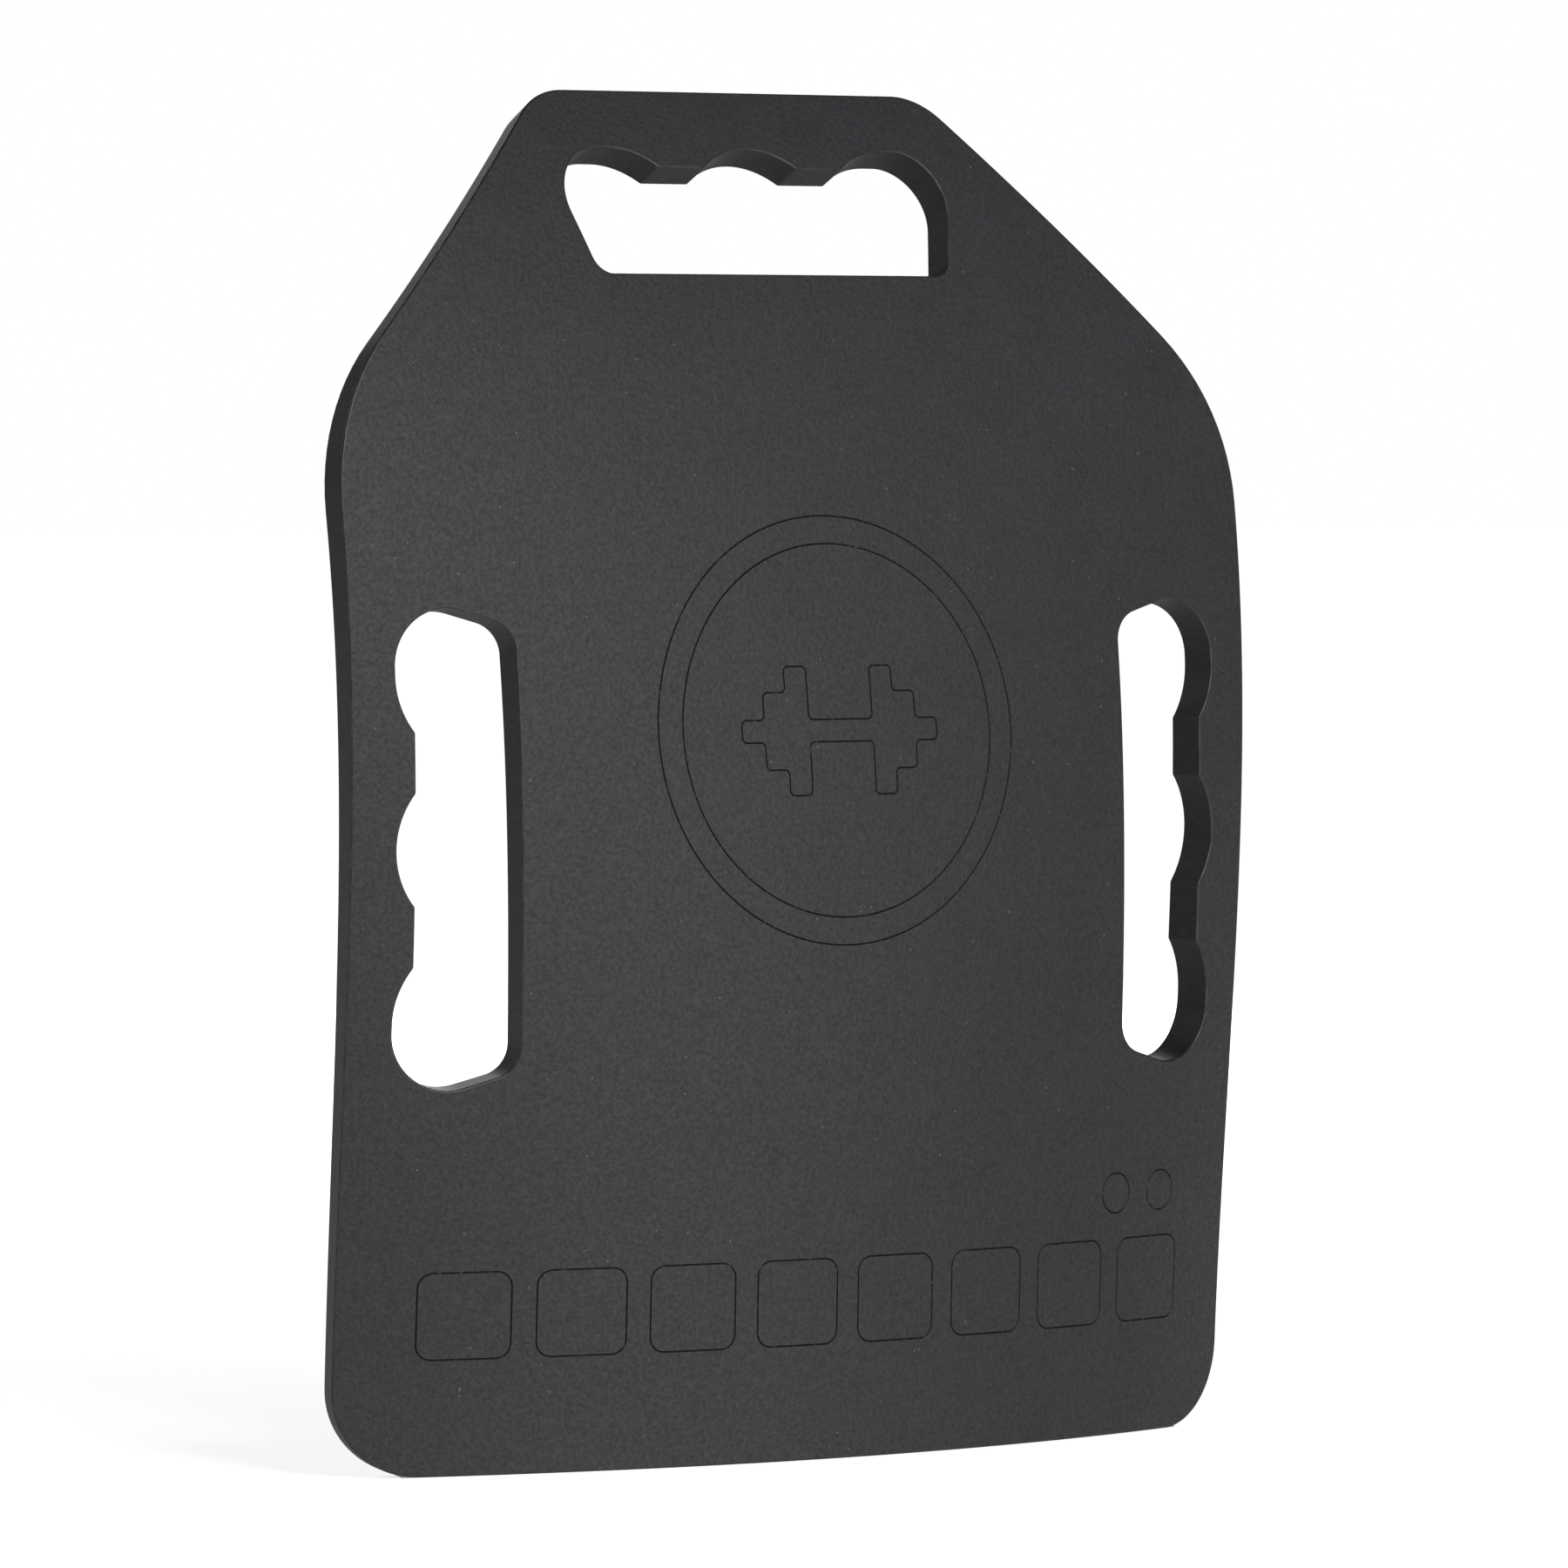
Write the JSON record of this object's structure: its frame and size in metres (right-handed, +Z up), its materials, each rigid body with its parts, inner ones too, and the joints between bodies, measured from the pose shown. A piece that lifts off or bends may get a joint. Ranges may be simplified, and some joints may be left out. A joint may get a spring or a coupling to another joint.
{
  "type": "training weight plate",
  "caption": "Rigid steel weight plate, pressed to a double curve and powder coated, with scalloped hand-grip windows at both sides and the top.",
  "frame": {"origin": "on the ground, in the middle of the plate's outer box", "axes": "+X across the plate, +Y from the bulging front face to the back, +Z up"},
  "size_m": [0.2542, 0.0566, 0.32],
  "materials": {
    "steel": "bare cut edge",
    "coat": "fine textured powder coat"
  },
  "bodies": {
    "root": {"steel_plate": "steel", "powder_coat": "coat"}
  },
  "joints": []
}
